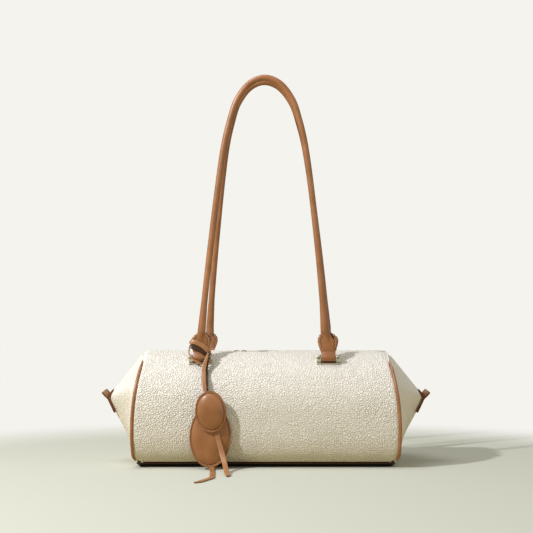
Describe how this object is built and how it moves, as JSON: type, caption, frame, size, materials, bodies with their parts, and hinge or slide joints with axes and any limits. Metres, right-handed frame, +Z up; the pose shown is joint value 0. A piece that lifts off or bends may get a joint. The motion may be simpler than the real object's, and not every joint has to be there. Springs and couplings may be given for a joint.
{
  "type": "baguette bag",
  "caption": "Barrel-shaped leather baguette bag with gusseted ends, crest zip, two rolled handles that swing on metal bars, and a hanging charm of stitched ovals.",
  "frame": {"origin": "on the standing surface, under the middle of the base's flat underside", "axes": "+X along the bag to the viewer's right, +Y from the front to the back, +Z up"},
  "size_m": [0.327, 0.209, 0.3847],
  "materials": {
    "pebbled_leather": "ivory pebbled grain, satin",
    "smooth_leather": "tan smooth leather, satin",
    "metal": "polished nickel",
    "cloth": "woven cotton",
    "zip_teeth": "metal zip teeth",
    "board": "pressed fibre board"
  },
  "bodies": {
    "bag": {"front_panel": "pebbled_leather", "back_panel": "pebbled_leather", "base_panel": "smooth_leather", "base_board": "board", "end_gusset_left": "pebbled_leather", "end_gusset_right": "pebbled_leather", "piping_left_front": "smooth_leather", "piping_left_back": "smooth_leather", "piping_right_front": "smooth_leather", "piping_right_back": "smooth_leather", "end_tab_left": "smooth_leather", "end_tab_right": "smooth_leather", "lining": "cloth", "zip_tape_front": "cloth", "zip_tape_back": "cloth", "zip_teeth_front": "zip_teeth", "zip_teeth_back": "zip_teeth", "handle_bracket_front_left": "metal", "handle_bracket_front_right": "metal", "handle_bracket_back_left": "metal", "handle_bracket_back_right": "metal", "handle_bar_front_left": "metal", "handle_bar_front_right": "metal", "handle_bar_back_left": "metal", "handle_bar_back_right": "metal", "lace_ring": "smooth_leather"},
    "front_handle": {"handle_front": "smooth_leather", "handle_core_front": "cloth", "handle_end_front_left": "smooth_leather", "handle_end_front_right": "smooth_leather", "lace_wrap": "smooth_leather"},
    "back_handle": {"handle_back": "smooth_leather", "handle_core_back": "cloth", "handle_end_back_left": "smooth_leather", "handle_end_back_right": "smooth_leather"},
    "left_slider": {"zip_slider_left": "metal"},
    "left_pull": {"zip_pull_left": "metal"},
    "right_slider": {"zip_slider_right": "metal"},
    "right_pull": {"zip_pull_right": "metal"},
    "charm": {"lace_hanger": "smooth_leather", "charm_small_oval": "smooth_leather", "charm_large_oval": "smooth_leather", "charm_tail_front": "smooth_leather", "charm_tail_floor": "smooth_leather"}
  },
  "joints": [
    {"name": "front_handle_swing", "type": "hinge", "parent": "bag", "child": "front_handle", "pos_m": [0, -0.03824, 0.10614], "axis": [1, 0, 0], "range_deg": [0, 92]},
    {"name": "back_handle_swing", "type": "hinge", "parent": "bag", "child": "back_handle", "pos_m": [0, 0.03824, 0.10614], "axis": [-1, 0, 0], "range_deg": [0, 92]},
    {"name": "left_slider_travel", "type": "slide", "parent": "bag", "child": "left_slider", "axis": [-1, 0, 0], "range_m": [0, 0.082]},
    {"name": "right_slider_travel", "type": "slide", "parent": "bag", "child": "right_slider", "axis": [1, 0, 0], "range_m": [0, 0.134]},
    {"name": "left_pull_flip", "type": "hinge", "parent": "left_slider", "child": "left_pull", "pos_m": [-0.02953, 0, 0.10948], "axis": [0, 1, 0], "range_deg": [0, 98]},
    {"name": "right_pull_flip", "type": "hinge", "parent": "right_slider", "child": "right_pull", "pos_m": [-0.02207, 0, 0.10948], "axis": [0, -1, 0], "range_deg": [0, 98]},
    {"name": "charm_swing", "type": "hinge", "parent": "bag", "child": "charm", "pos_m": [-0.059, -0.0445, 0.098], "axis": [-1, 0, 0], "range_deg": [0, 45]}
  ]
}
